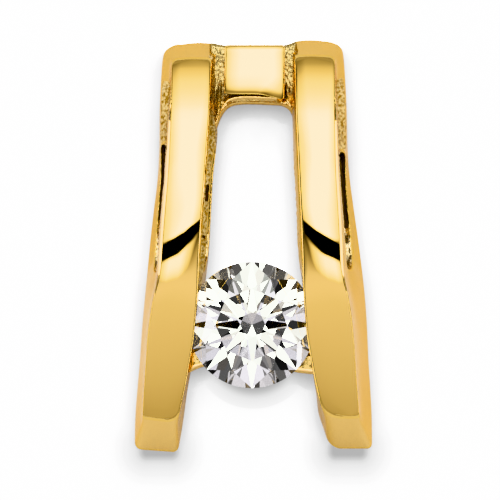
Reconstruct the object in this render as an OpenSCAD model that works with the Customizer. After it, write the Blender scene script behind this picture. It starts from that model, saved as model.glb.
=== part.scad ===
// Slide pendant: two bowed bars with a bridge at the top, and a round brilliant held between them.
// It lies on its flat back. Z is up out of the front, Y points to the bridge end and X to the right.
// The origin is at the middle of the outline, on the plane of the back.

/* [Bars] */
// Length of each bar, from its top end to its bottom end
bar_h = 16.9; // [16:0.1:18]
// Width over both bars where they are furthest apart, at the bottom
pendant_w = 9.82; // [9.5:0.02:10.2]
// How much lower the left bar sits than the right one
stagger = 0.14; // [0:0.02:0.3]
// Height of the bow's crest above the back
crest_h = 4.35; // [4.2:0.05:4.7]
// Distance of the crest below the top end of a bar
crest_down = 8; // [7.6:0.1:8.4]
// Radius of the bow above its crest
upper_bow_r = 11.3; // [10.8:0.1:13]
// Radius of the bow below its crest
lower_bow_r = 16.5; // [15:0.5:20]
// How far the top end wall leans back
top_lean = 0.75; // [0.5:0.05:1]
// How far the bottom end wall leans back
bottom_lean = 1.4; // [1:0.05:1.7]
// How much the front face is domed from side to side
crown_rise = 0.14; // [0.05:0.01:0.2]
// Roundness of the front face's outer long edge
outer_edge_r = 0.18; // [0.1:0.01:0.22]
// Roundness of the front face's inner long edge
inner_edge_r = 0.09; // [0.05:0.01:0.12]
// Radius of the outer top corner at the back
back_corner_r = 0.6; // [0.4:0.02:0.7]
// Radius of the outer top corner and of the inner bottom corner on the front face
face_corner_r = 0.32; // [0.2:0.02:0.4]
// Radius of the other corners
small_corner_r = 0.2; // [0.1:0.02:0.25]

/* [Chain slot] */
// Thickness of the leg in front of the slot
front_leg = 1.08; // [0.9:0.02:1.2]
// Thickness of the leg behind the slot
back_leg = 0.8; // [0.6:0.05:1]
// Distance of the slot's top below the top end of a bar
slot_top = 4.2; // [3.8:0.1:4.6]
// Roundness of the slot's corners at its top
slot_top_r = 0.5; // [0.3:0.05:0.5]
// Distance of the slot's bottom below the top end of a bar
slot_bottom = 9.5; // [8.8:0.05:9.7]
// Radius of the slot's back corner at its bottom
slot_back_r = 1.3; // [0.8:0.05:1.4]
// Radius of the slot's front corner at its bottom
slot_front_r = 0.4; // [0.2:0.05:0.5]

/* [Top bridge] */
// Width of the raised pad
pad_w = 2.6; // [2.2:0.05:2.8]
// Length of the pad, from the top edge down
pad_len = 2.05; // [1.7:0.05:2.3]
// Distance of the pad's top edge below the top of the pendant
pad_down = 0.2; // [0.15:0.01:0.3]
// Height of the pad at its top edge
pad_top_h = 1.45; // [1.2:0.05:1.6]
// Height of the pad at its lower edge
pad_low_h = 2.05; // [1.9:0.05:2.2]
// How much the pad's front bulges between these edges
pad_bulge = 0.12; // [0.05:0.01:0.2]
// Height of the web that carries the pad
web_h = 1; // [0.8:0.05:1.1]
// How far the web reaches below the pad
web_foot = 0.4; // [0.3:0.02:0.6]
// Radius of the fillets at the top corners of the window
window_r = 0.64; // [0.3:0.02:0.8]

/* [Lower bridge] */
// Height of the rail
rail_h = 1.15; // [0.9:0.05:1.25]
// Width of the rail, seen from the front
rail_w = 0.9; // [0.7:0.05:1]
// Distance of the rail's lower edge below the middle of the stone, beside the bars
rail_down = 2.05; // [1.9:0.05:2.2]
// How much the rail arches up towards its middle
rail_arch = 0.5; // [0.2:0.05:0.6]

/* [Stone] */
// Diameter of the girdle
stone_d = 5.2; // [5.1:0.02:5.3]
// Place of the stone's middle below the middle of the pendant
stone_down = 3.24; // [3:0.02:3.5]
// Height of the girdle's upper edge above the back
girdle_h = 3.23; // [3.15:0.01:3.3]
// Thickness of the girdle
girdle_t = 0.13; // [0.1:0.01:0.16]
// Width of the table between its corners, as a share of the diameter
table_share = 0.57; // [0.53:0.01:0.62]
// How far out the lower half facets end, as a share of the radius
lower_share = 0.22; // [0.18:0.01:0.28]
// Angle of the main facets above the girdle
crown_angle = 34.5; // [33:0.5:36]
// Angle of the main facets below the girdle
pavilion_angle = 40.8; // [40:0.2:41.6]
// Gap between the stone and its seat
stone_gap = 0.03; // [0.02:0.01:0.05]

/* [Hidden] */

half_w = pendant_w / 2;
full_h = bar_h + stagger;
top_y = full_h / 2;
panel_h = bar_h - top_lean - bottom_lean;
stone_r = stone_d / 2;
girdle_low = girdle_h - girdle_t;
table_r = stone_r * table_share;
// Number of main facets round the crown, and the turn from one to the next.
MAINS = 8;
main_turn = 360 / MAINS;
// Radii at which the star facets and the lower half facets end.
star_r = (stone_r + table_r) / 2;
lower_r = stone_r * lower_share;

// Height of the main facets above and below the girdle, at a distance x from the middle.
function main_crown_h(x) = girdle_h + (stone_r - x) * tan(crown_angle);
function main_pavilion_h(x) = girdle_low - (stone_r - x) * tan(pavilion_angle);

star_tip_h = main_crown_h(star_r * cos(main_turn / 2));
lower_tip_h = main_pavilion_h(lower_r * cos(main_turn / 2));

// How far the bridges run into the bars.
bite = 0.15;

// Edges of a bar's back. Each row is a section: its place as a share of the bar's length from
// the top, then its inner and its outer edge as shares of half the pendant's width.
PLACE = 0;
INNER = 1;
OUTER = 2;
BACK_EDGES = [
    [0, 0.325, 0.742], [0.05, 0.325, 0.76], [0.16, 0.325, 0.782], [0.26, 0.333, 0.79],
    [0.33, 0.348, 0.806], [0.41, 0.363, 0.84], [0.48, 0.38, 0.872], [0.56, 0.405, 0.9],
    [0.63, 0.436, 0.924], [0.7, 0.466, 0.945], [0.78, 0.506, 0.962], [0.85, 0.544, 0.98],
    [0.92, 0.584, 0.995], [1, 0.628, 1]
];
// Edges of its front face, by shares of the face's length and of half the width in the same way.
FRONT_EDGES = [
    [0, 0.363, 0.705], [0.14, 0.374, 0.71], [0.25, 0.391, 0.72], [0.33, 0.405, 0.73],
    [0.44, 0.426, 0.754], [0.53, 0.441, 0.771], [0.59, 0.449, 0.783], [0.63, 0.454, 0.806],
    [0.67, 0.46, 0.834], [0.73, 0.474, 0.86], [0.78, 0.489, 0.876], [0.84, 0.52, 0.892],
    [0.9, 0.552, 0.904], [0.95, 0.588, 0.914], [1, 0.625, 0.922]
];

// Slope of a table's column at a row, from the rows on both sides.
function slope(table, column, row) =
    let (before = max(row - 1, 0), after = min(row + 1, len(table) - 1))
    (table[after][column] - table[before][column]) / (table[after][PLACE] - table[before][PLACE]);

// Value of a column at any place, on a smooth curve through the rows.
function smooth(table, column, place) =
    let (
        row = max([for (i = [0 : len(table) - 2]) if (table[i][PLACE] <= place) i]),
        step = table[row + 1][PLACE] - table[row][PLACE],
        u = (place - table[row][PLACE]) / step,
        from = table[row][column],
        to = table[row + 1][column]
    )
    from + (to - from) * u * u * (3 - 2 * u)
        + step * u * (1 - u) * ((1 - u) * slope(table, column, row) - u * slope(table, column, row + 1));

// Height of the bowed front at a distance below the bar's top, less an offset square to it.
function bow_h(down, offset = 0) =
    let (r = down < crest_down ? upper_bow_r : lower_bow_r)
    crest_h - r + sqrt(pow(r - offset, 2) - pow(down - crest_down, 2));

// How far a corner of radius r draws an edge in, at a distance from the end.
function corner_inset(distance, r) = distance < r ? r - sqrt(r * r - pow(r - distance, 2)) : 0;

// Drop of the front face at u, which runs from -1 at one edge to 1 at the other.
function face_drop(u, half_face) =
    let (
        r = u < 0 ? inner_edge_r : outer_edge_r,
        flat = 1 - r / half_face,
        over = max(0, (abs(u) - flat) / (1 - flat))
    )
    crown_rise * pow(u, 4) + r * (1 - sqrt(max(0, 1 - over * over)));

// Places of the points across the front face, closer together at its rounded edges.
FACE_POINTS = [-1, -0.985, -0.95, -0.9, -0.75, -0.5, -0.25, 0, 0.25, 0.5, 0.76, 0.85, 0.92, 0.975, 1];

// Places of the rings along a bar, closer together at its rounded corners.
MIDDLE_RINGS = 40;
CORNER_STEPS = [0, 0.001, 0.0025, 0.0055, 0.01, 0.0155];
RINGS = concat(
    CORNER_STEPS,
    [for (i = [1 : MIDDLE_RINGS - 1]) i / MIDDLE_RINGS],
    [for (i = [len(CORNER_STEPS) - 1 : -1 : 0]) 1 - CORNER_STEPS[i]]
);

// One ring of a bar, as [x, distance below the bar's top, z]. It leans as the nearer end wall does.
function ring(place) =
    let (
        back = place * bar_h,
        front = top_lean + place * panel_h,
        from_bottom = bar_h - back,
        top_small = corner_inset(back, small_corner_r),
        low_small = corner_inset(from_bottom, small_corner_r),
        back_in = smooth(BACK_EDGES, INNER, place) * half_w + top_small + low_small,
        back_out = smooth(BACK_EDGES, OUTER, place) * half_w
            - corner_inset(back, back_corner_r) - low_small,
        face_in = smooth(FRONT_EDGES, INNER, place) * half_w + top_small / 2
            + corner_inset(from_bottom, face_corner_r),
        face_out = smooth(FRONT_EDGES, OUTER, place) * half_w
            - corner_inset(back, face_corner_r) - low_small / 2,
        half_face = (face_out - face_in) / 2,
        top = bow_h(front)
    )
    concat(
        [[back_in, back, 0], [back_out, back, 0]],
        [for (i = [len(FACE_POINTS) - 1 : -1 : 0])
            let (u = FACE_POINTS[i], z = top - face_drop(u, half_face))
            [face_in + half_face * (1 + u), back + (front - back) * z / top, z]]
    );

// Faces that join n rings of m points each and close both ends.
function ring_faces(n, m) = concat(
    [[for (j = [0 : m - 1]) j]],
    [for (i = [0 : n - 2]) for (j = [0 : m - 1])
        [i * m + j, (i + 1) * m + j, (i + 1) * m + (j + 1) % m, i * m + (j + 1) % m]],
    [[for (j = [m - 1 : -1 : 0]) (n - 1) * m + j]]
);

// The solid of the right bar, with its top end at y = 0.
module bar_body() {
    rings = [for (place = RINGS) [for (p = ring(place)) [p[0], -p[1], p[2]]]];
    polyhedron(
        points = [for (one = rings) for (p = one) p],
        faces = ring_faces(len(rings), len(rings[0]))
    );
}

// Points of a rounded corner, from a on one of its edges to b on the other.
function round_corner(a, corner, b) =
    [for (u = [0 : 0.25 : 1]) (1 - u) * (1 - u) * a + 2 * u * (1 - u) * corner + u * u * b];

// Outline of the chain slot from the side, as [distance below the bar's top, height].
function slot_outline() =
    let (
        roof_start = slot_bottom - slot_front_r,
        roof_end = bow_h(slot_bottom, front_leg),
        roof_stop = slot_top + slot_top_r,
        roof_corner = bow_h(slot_top, front_leg)
    )
    concat(
        round_corner([slot_top, back_leg + slot_top_r], [slot_top, back_leg], [roof_stop, back_leg]),
        [for (a = [0 : 15 : 90])
            [slot_bottom - slot_back_r * (1 - sin(a)), back_leg + slot_back_r * (1 - cos(a))]],
        [for (a = [0 : 15 : 75])
            [slot_bottom - slot_front_r * (1 - cos(a)), roof_end - slot_front_r * (1 - sin(a))]],
        [for (i = [0 : 15])
            let (down = roof_start + (roof_stop - roof_start) * i / 16)
            [down, bow_h(down, front_leg)]],
        round_corner(
            [roof_stop, bow_h(roof_stop, front_leg)],
            [slot_top, roof_corner],
            [slot_top, roof_corner - slot_top_r]
        )
    );

module chain_slot() {
    // turned so that the outline's first value points down the bar and its second one up
    multmatrix([[0, 0, 1, 0], [-1, 0, 0, 0], [0, 1, 0, 0]])
        linear_extrude(height = pendant_w)
            polygon(slot_outline());
}

module right_bar() {
    translate([0, top_y, 0])
        difference() {
            bar_body();
            chain_slot();
        }
}

module left_bar() {
    translate([0, -stagger, 0])
        mirror([1, 0, 0]) right_bar();
}

// Half distance between the bars' inner walls at their back, at a height y on the pendant.
function inner_wall(y) = smooth(BACK_EDGES, INNER, (top_y - y) / bar_h) * half_w;

module top_bridge() {
    pad_y = top_y - stagger / 2 - pad_down;
    foot_y = pad_y - pad_len - web_foot;
    // raised pad, with a bulging front
    multmatrix([[0, 0, 1, -pad_w / 2], [-1, 0, 0, pad_y], [0, 1, 0, 0]])
        linear_extrude(height = pad_w)
            polygon(concat(
                [[pad_len + web_foot / 2, 0], [0, 0]],
                [for (i = [0 : 12])
                    let (u = i / 12)
                    [pad_len * u, pad_top_h + (pad_low_h - pad_top_h) * u + 4 * pad_bulge * u * (1 - u)]]
            ));
    // web between the bars, with the window's rounded top corners
    half_window = inner_wall(foot_y);
    reach = half_window + bite;
    linear_extrude(height = web_h)
        difference() {
            translate([-reach, foot_y - window_r])
                square([2 * reach, pad_y - foot_y + window_r]);
            for (side = [-1, 1])
                translate([side * (half_window - window_r), foot_y - window_r])
                    circle(r = window_r, $fn = 40);
            translate([window_r - half_window, foot_y - 2 * window_r])
                square([2 * (half_window - window_r), 2 * window_r]);
            translate([-half_window, foot_y - 2 * window_r])
                square([2 * half_window, window_r]);
        }
}

module lower_bridge() {
    low_y = -stone_down - rail_down;
    reach = inner_wall(low_y) + bite;
    steps = 12;
    arch = [for (i = [0 : steps]) let (u = 2 * i / steps - 1) [reach * u, rail_arch * (1 - u * u)]];
    translate([0, low_y, 0])
        linear_extrude(height = rail_h)
            polygon(concat(
                arch,
                [for (i = [steps : -1 : 0]) [arch[i][0], arch[i][1] + rail_w]]
            ));
}

// Groove that the stone sits in, a gap wider than the stone all round.
module stone_seat() {
    seat_r = stone_r + stone_gap;
    // the half facets stand out furthest, so the seat takes its slopes from their edges
    under_slope = (girdle_low - lower_tip_h) / (stone_r - lower_r);
    over_slope = (star_tip_h - girdle_h) / (stone_r - star_r);
    under_gap = stone_gap * sqrt(1 + pow(under_slope, 2));
    over_gap = stone_gap * sqrt(1 + pow(over_slope, 2));
    seat_top = girdle_h + over_slope * (stone_r - table_r) + over_gap;
    translate([0, -stone_down, 0])
        rotate_extrude($fn = 96)
            polygon([
                [0, girdle_low - under_slope * stone_r - under_gap],
                [seat_r, girdle_low + under_slope * stone_gap - under_gap],
                [seat_r, girdle_h - over_slope * stone_gap + over_gap],
                [table_r, seat_top],
                [0, seat_top]
            ]);
}

module slide_mount() {
    color("gold")
        difference() {
            union() {
                left_bar();
                right_bar();
                top_bridge();
                lower_bridge();
            }
            stone_seat();
        }
}

// Steps in the girdle between two main facets.
GIRDLE_STEPS = 8;

function on_circle(r, a, z) = [r * cos(a), r * sin(a), z];

// Height at which the plane through three points meets the girdle at angle a.
function plane_h(p, q, s, a) =
    let (n = cross(q - p, s - p), at = on_circle(stone_r, a, 0))
    p[2] - (n[0] * (at[0] - p[0]) + n[1] * (at[1] - p[1])) / n[2];

// Height of a girdle edge at step j of a main facet's turn, from the half facet there.
function girdle_edge_h(j, tip, edge_h) =
    let (
        half = GIRDLE_STEPS / 2,
        near = j < half ? 0 : 1,
        a = main_turn * j / GIRDLE_STEPS
    )
    plane_h(
        tip, on_circle(stone_r, near * main_turn, edge_h), on_circle(stone_r, main_turn / 2, edge_h), a
    );

// The stone's points lie in rings: table, star tips, both girdle edges, lower tips and culet.
module stone() {
    star_tip = on_circle(star_r, main_turn / 2, star_tip_h);
    lower_tip = on_circle(lower_r, main_turn / 2, lower_tip_h);
    girdle_n = MAINS * GIRDLE_STEPS;
    points = concat(
        [for (k = [0 : MAINS - 1]) on_circle(table_r, k * main_turn, main_crown_h(table_r))],
        [for (k = [0 : MAINS - 1]) on_circle(star_r, (k + 0.5) * main_turn, star_tip_h)],
        [for (k = [0 : MAINS - 1]) for (j = [0 : GIRDLE_STEPS - 1])
            on_circle(
                stone_r, (k + j / GIRDLE_STEPS) * main_turn, girdle_edge_h(j, star_tip, girdle_h)
            )],
        [for (k = [0 : MAINS - 1]) for (j = [0 : GIRDLE_STEPS - 1])
            on_circle(
                stone_r, (k + j / GIRDLE_STEPS) * main_turn, girdle_edge_h(j, lower_tip, girdle_low)
            )],
        [for (k = [0 : MAINS - 1]) on_circle(lower_r, (k + 0.5) * main_turn, lower_tip_h)],
        [[0, 0, main_pavilion_h(0)]]
    );
    // first point of each ring
    star = MAINS;
    upper = star + MAINS;
    under = upper + girdle_n;
    tip = under + girdle_n;
    culet = tip + MAINS;
    half = GIRDLE_STEPS / 2;
    faces = concat(
        [[for (k = [MAINS - 1 : -1 : 0]) k]],
        [for (k = [0 : MAINS - 1]) [k, (k + 1) % MAINS, star + k]],
        [for (k = [0 : MAINS - 1])
            [k, star + k, upper + k * GIRDLE_STEPS, star + (k + MAINS - 1) % MAINS]],
        [for (k = [0 : MAINS - 1]) for (side = [0, 1])
            concat([star + k], [for (j = [half : -1 : 0])
                upper + (k * GIRDLE_STEPS + side * half + j) % girdle_n])],
        [for (i = [0 : girdle_n - 1])
            [upper + i, upper + (i + 1) % girdle_n, under + (i + 1) % girdle_n, under + i]],
        [for (k = [0 : MAINS - 1]) for (side = [0, 1])
            concat([tip + k], [for (j = [0 : half])
                under + (k * GIRDLE_STEPS + side * half + j) % girdle_n])],
        [for (k = [0 : MAINS - 1])
            [culet, tip + (k + MAINS - 1) % MAINS, under + k * GIRDLE_STEPS, tip + k]]
    );
    color("white")
        translate([0, -stone_down, 0])
            polyhedron(points = points, faces = faces);
}

slide_mount();
stone();
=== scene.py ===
import math

import bmesh
import bpy
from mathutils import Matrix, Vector


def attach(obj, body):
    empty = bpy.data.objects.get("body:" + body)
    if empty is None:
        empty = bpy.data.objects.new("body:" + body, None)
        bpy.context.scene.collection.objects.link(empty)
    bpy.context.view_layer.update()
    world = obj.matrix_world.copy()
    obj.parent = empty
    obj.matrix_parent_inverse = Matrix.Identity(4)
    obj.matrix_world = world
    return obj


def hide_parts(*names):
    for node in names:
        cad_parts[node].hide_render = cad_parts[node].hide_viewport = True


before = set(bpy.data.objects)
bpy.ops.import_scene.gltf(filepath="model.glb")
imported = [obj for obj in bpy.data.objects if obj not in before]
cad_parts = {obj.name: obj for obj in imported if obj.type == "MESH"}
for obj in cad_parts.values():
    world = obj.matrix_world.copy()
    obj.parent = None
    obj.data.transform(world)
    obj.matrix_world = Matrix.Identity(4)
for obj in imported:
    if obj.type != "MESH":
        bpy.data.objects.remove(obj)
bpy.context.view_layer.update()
print("frame loaded")

mm = 0.001
close = 0.01  # points that differ by less, in mm, are in one line
facing = 0.7  # a face counts as facing a side from this share of its normal on


# helpers for modelling

def deselectAll():
    bpy.ops.object.select_all(action="DESELECT")


def activate(piece):
    deselectAll()
    piece.select_set(True)
    bpy.context.view_layer.objects.active = piece


def edit(piece):
    activate(piece)
    bpy.ops.object.mode_set(mode="EDIT")
    bpy.ops.mesh.select_mode(type="VERT")


def leaveEdit():
    bpy.ops.object.mode_set(mode="OBJECT")


def applyPlace(piece):
    activate(piece)
    bpy.ops.object.transform_apply(location=True, rotation=True, scale=True)


def applyModifiers(piece):
    activate(piece)
    for modifier in list(piece.modifiers):
        bpy.ops.object.modifier_apply(modifier=modifier.name)


# a flat grid with its size and middle in mm, left open for editing
def addGrid(name, columns, rows, size, middle, turn=(0, 0, 0)):
    deselectAll()
    bpy.ops.mesh.primitive_grid_add(x_subdivisions=columns, y_subdivisions=rows, size=1)
    piece = bpy.context.object
    piece.name = name
    piece.rotation_euler = turn
    piece.scale = (size[0] * mm, size[1] * mm, 1)
    piece.location = Vector(middle) * mm
    applyPlace(piece)
    edit(piece)
    return piece


# closes a sheet downwards to a flat bottom at a height in mm
def closeDown(height):
    bpy.ops.mesh.select_all(action="SELECT")
    bpy.ops.mesh.extrude_region_move()
    bpy.ops.transform.resize(value=(1, 1, 0), center_override=(0, 0, height * mm))
    bpy.ops.mesh.select_all(action="SELECT")
    bpy.ops.mesh.normals_make_consistent(inside=False)


# selects the points, edges or faces with these numbers
def selectThese(piece, kind, wanted):
    bpy.ops.mesh.select_all(action="DESELECT")
    mesh = bmesh.from_edit_mesh(piece.data)
    parts = getattr(mesh, kind)
    parts.ensure_lookup_table()
    for i in wanted:
        parts[i].select = True
    mesh.select_flush_mode()


# selects the edges or faces that pass a test
def selectWhere(piece, kind, test):
    bpy.ops.mesh.select_all(action="DESELECT")
    for part in getattr(bmesh.from_edit_mesh(piece.data), kind):
        part.select = test(part)


def moveVerts(piece, wanted, shift):
    selectThese(piece, "verts", wanted)
    bpy.ops.transform.translate(value=Vector(shift) * mm)


def addBevel(piece, width):
    rounding = piece.modifiers.new("rounding", "BEVEL")
    rounding.limit_method = "WEIGHT"
    rounding.width = width * mm
    rounding.segments = 3
    rounding.use_clamp_overlap = False
    rounding.material = 0


def addSmoothing(piece, levels):
    smoothing = piece.modifiers.new("smoothing", "SUBSURF")
    smoothing.levels = smoothing.render_levels = levels


# uneven skin as it comes out of the mould, where the vertex group "cast" has weight
def addLumps(piece, height, size):
    pattern = bpy.data.textures.new("castSkin", "CLOUDS")
    pattern.noise_scale = size * mm
    pattern.noise_depth = 3
    lumps = piece.modifiers.new("lumps", "DISPLACE")
    lumps.texture = pattern
    lumps.texture_coords = "LOCAL"
    lumps.strength = height * mm
    lumps.mid_level = 0.5
    lumps.vertex_group = "cast"


def between(low, high, share):
    return low + (high - low) * share


# value of a line of (place, value) rows at any place, on a smooth curve through the rows
def along(line, place):
    last = len(line) - 1
    row = max(i for i in range(last) if line[i][0] <= place)

    def slope(i):
        a, b = line[max(i - 1, 0)], line[min(i + 1, last)]
        return (b[1] - a[1]) / (b[0] - a[0])

    step = line[row + 1][0] - line[row][0]
    u = (place - line[row][0]) / step
    lift = step * u * (1 - u) * ((1 - u) * slope(row) - u * slope(row + 1))
    return between(line[row][1], line[row + 1][1], u * u * (3 - 2 * u)) + lift


# how far a round corner draws an edge in, at a distance from the end
def cornerInset(distance, radius):
    if distance >= radius:
        return 0
    return radius - math.sqrt(radius ** 2 - (radius - distance) ** 2)


# helpers for materials and light

# links a socket to another one, or sets it to a plain value
def feed(tree, socket, source):
    if isinstance(source, bpy.types.NodeSocket):
        tree.links.new(source, socket)
    else:
        socket.default_value = source


def mathNode(tree, operation, *sources):
    node = tree.nodes.new("ShaderNodeMath")
    node.operation = operation
    for socket, source in zip(node.inputs, sources):
        feed(tree, socket, source)
    return node.outputs[0]


def vectorNode(tree, operation, *sources):
    node = tree.nodes.new("ShaderNodeVectorMath")
    node.operation = operation
    for socket, source in zip(node.inputs, sources):
        feed(tree, socket, source)
    return node.outputs["Value" if operation in ("LENGTH", "DISTANCE") else "Vector"]


def mixNode(tree, share, first, second):
    node = tree.nodes.new("ShaderNodeMix")
    node.data_type = "RGBA"
    for name, source in (("Factor", share), ("A", first), ("B", second)):
        feed(tree, node.inputs[name], source)
    return node.outputs["Result"]


# grey from a ramp through (place, value) rows between two places, as a share of the top value
def rampNode(tree, source, rows, low, high, top):
    node = tree.nodes.new("ShaderNodeValToRGB")
    elements = node.color_ramp.elements
    elements.remove(elements[1])
    for i, (place, value) in enumerate(rows):
        at = (place - low) / (high - low)
        element = elements[0] if i == 0 else elements.new(at)
        element.position = at
        element.color = (value / top, value / top, value / top, 1)
    tree.links.new(source, node.inputs["Fac"])
    return node.outputs["Color"]


def newMaterial(name):
    material = bpy.data.materials.new(name)
    material.use_nodes = True
    return material, material.node_tree, material.node_tree.nodes["Principled BSDF"]


# the gold

# what the smooth finishes send back at a glance, the same all over
smoothRim = {"lightRim": (0.95, 0.77, 0.46, 1), "deepRim": (0.95, 0.77, 0.46, 1), "softness": 0.5}

# scale of the fine grain and of the broad patches, colours of the patches square on and at a glance,
# how soft they change, least and most roughness, depth of the grain
goldFinishes = {
    "polished": {**smoothRim, "fine": 9000, "broad": 260,
                 "light": (0.83, 0.564, 0.168, 1), "deep": (0.82, 0.55, 0.158, 1),
                 "smooth": 0.008, "rough": 0.016, "bump": 0.001},
    "tumbled": {**smoothRim, "fine": 5000, "broad": 420,
                "light": (0.83, 0.57, 0.22, 1), "deep": (0.79, 0.53, 0.19, 1),
                "smooth": 0.1, "rough": 0.18, "bump": 0.02},
    "cast": {"fine": 9000, "broad": 8000, "light": (0.9, 0.71, 0.4, 1), "deep": (0.5, 0.35, 0.16, 1),
             "lightRim": (1, 0.88, 0.55, 1), "deepRim": (0.54, 0.34, 0.1, 1), "softness": 0.09,
             "smooth": 0.15, "rough": 0.35, "bump": 0.3},
    # painted shade: dark brown gold in the slot, in patches on a wall, under the pad and behind the web's
    # lip
    "recess": {"fine": 5200, "broad": 3000, "light": (0.2, 0.11, 0.03, 1), "deep": (0.05, 0.025, 0.006, 1),
               "lightRim": (0.4, 0.24, 0.08, 1), "deepRim": (0.12, 0.07, 0.02, 1), "softness": 0.3,
               "smooth": 0.3, "rough": 0.5, "bump": 0.5},
    # painted shade: a darker gold for the fine rim round the face, standing in for its dark rolled edge
    "edge": {**smoothRim, "fine": 9000, "broad": 900,
             "light": (0.78, 0.53, 0.17, 1), "deep": (0.6, 0.39, 0.11, 1),
             "smooth": 0.1, "rough": 0.2, "bump": 0.02},
    # a dull darker gold for the web's grooves, its darkness in part painted shade between pad and bars
    "groove": {"fine": 9000, "broad": 6000, "light": (0.54, 0.41, 0.18, 1), "deep": (0.28, 0.2, 0.08, 1),
               "lightRim": (0.88, 0.73, 0.48, 1), "deepRim": (0.62, 0.5, 0.28, 1), "softness": 0.25,
               "smooth": 0.15, "rough": 0.35, "bump": 0.5},
}
# patches are drawn out up the walls, so that they still show in a steep wall seen from the front
grain = {"drawnOut": (1, 1, 0.25), "broadDetail": 3, "fineDetail": 6, "depth": 0.05,
         "evenFrom": 0.35, "evenTo": 0.65}


# its inputs are named as in goldFinishes
def makeFinishGroup():
    group = bpy.data.node_groups.new("metalFinish", "ShaderNodeTree")
    for name in ("fine", "broad", "softness", "smooth", "rough"):
        group.interface.new_socket(name, in_out="INPUT", socket_type="NodeSocketFloat")
    for name in ("light", "deep", "lightRim", "deepRim"):
        group.interface.new_socket(name, in_out="INPUT", socket_type="NodeSocketColor")
    for name, kind in (("colour", "Color"), ("rim", "Color"), ("roughness", "Float"), ("height", "Float")):
        group.interface.new_socket(name, in_out="OUTPUT", socket_type="NodeSocket" + kind)
    start = group.nodes.new("NodeGroupInput").outputs
    end = group.nodes.new("NodeGroupOutput")
    place = group.nodes.new("ShaderNodeTexCoord").outputs["Object"]

    def noise(vector, scale, detail):
        node = group.nodes.new("ShaderNodeTexNoise")
        node.inputs["Detail"].default_value = detail
        group.links.new(vector, node.inputs["Vector"])
        group.links.new(scale, node.inputs["Scale"])
        return node.outputs["Fac"]

    def spread(source, *bounds):
        node = group.nodes.new("ShaderNodeMapRange")
        group.links.new(source, node.inputs["Value"])
        for limit, bound in zip(("From Min", "From Max", "To Min", "To Max"), bounds):
            feed(group, node.inputs[limit], bound)
        return node.outputs["Result"]

    stretched = vectorNode(group, "MULTIPLY", place, grain["drawnOut"])
    broad = noise(stretched, start["broad"], grain["broadDetail"])
    fine = noise(place, start["fine"], grain["fineDetail"])
    low, high = (mathNode(group, operation, 0.5, start["softness"]) for operation in ("SUBTRACT", "ADD"))
    patches = spread(broad, low, high)
    roughness = spread(fine, grain["evenFrom"], grain["evenTo"], start["smooth"], start["rough"])
    group.links.new(mixNode(group, patches, start["light"], start["deep"]), end.inputs["colour"])
    group.links.new(mixNode(group, patches, start["lightRim"], start["deepRim"]), end.inputs["rim"])
    group.links.new(roughness, end.inputs["roughness"])
    group.links.new(fine, end.inputs["height"])
    return group


def makeGold(name, finishGroup):
    finish = goldFinishes[name]
    material, tree, shader = newMaterial(name + " gold")
    look = tree.nodes.new("ShaderNodeGroup")
    look.node_tree = finishGroup
    for socket in look.inputs:
        socket.default_value = finish[socket.name]
    bump = tree.nodes.new("ShaderNodeBump")
    bump.inputs["Strength"].default_value = finish["bump"]
    bump.inputs["Distance"].default_value = grain["depth"] * mm
    shader.inputs["Metallic"].default_value = 1
    tree.links.new(look.outputs["colour"], shader.inputs["Base Color"])
    # a rim that is the same all over is set on the shader itself
    if finish["lightRim"] == finish["deepRim"]:
        shader.inputs["Specular Tint"].default_value = finish["lightRim"]
    else:
        tree.links.new(look.outputs["rim"], shader.inputs["Specular Tint"])
    tree.links.new(look.outputs["roughness"], shader.inputs["Roughness"])
    tree.links.new(look.outputs["height"], bump.inputs["Height"])
    tree.links.new(bump.outputs["Normal"], shader.inputs["Normal"])
    return material


finishGroup = makeFinishGroup()
gold = {name: makeGold(name, finishGroup) for name in goldFinishes}
print("gold made")


# gives a piece these finishes, and each of its faces the one that a function names
def dress(piece, finishes, finishOf):
    for name in finishes:
        piece.data.materials.append(gold[name])
    for face in piece.data.polygons:
        face.material_index = finishes.index(finishOf(face))


# how much of the cast skin each of these points gets
def groupCast(piece, weights):
    rough = piece.vertex_groups.new(name="cast")
    for i, weight in weights.items():
        rough.add([i], weight, "REPLACE")


# rounds the marked edges, smooths, adds the cast skin and applies it all
def soften(piece, softest, smoothing, lump=None):
    if softest:
        addBevel(piece, softest)
    addSmoothing(piece, smoothing)
    if lump:
        addLumps(piece, *lump)
    applyModifiers(piece)
    bpy.ops.object.shade_smooth()


# the bars

# the rows of points round a bar, from its back over the slot and the shoulder to its face
backRow, floorRow, roofRow, shoulderRow, faceRow = range(5)

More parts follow.
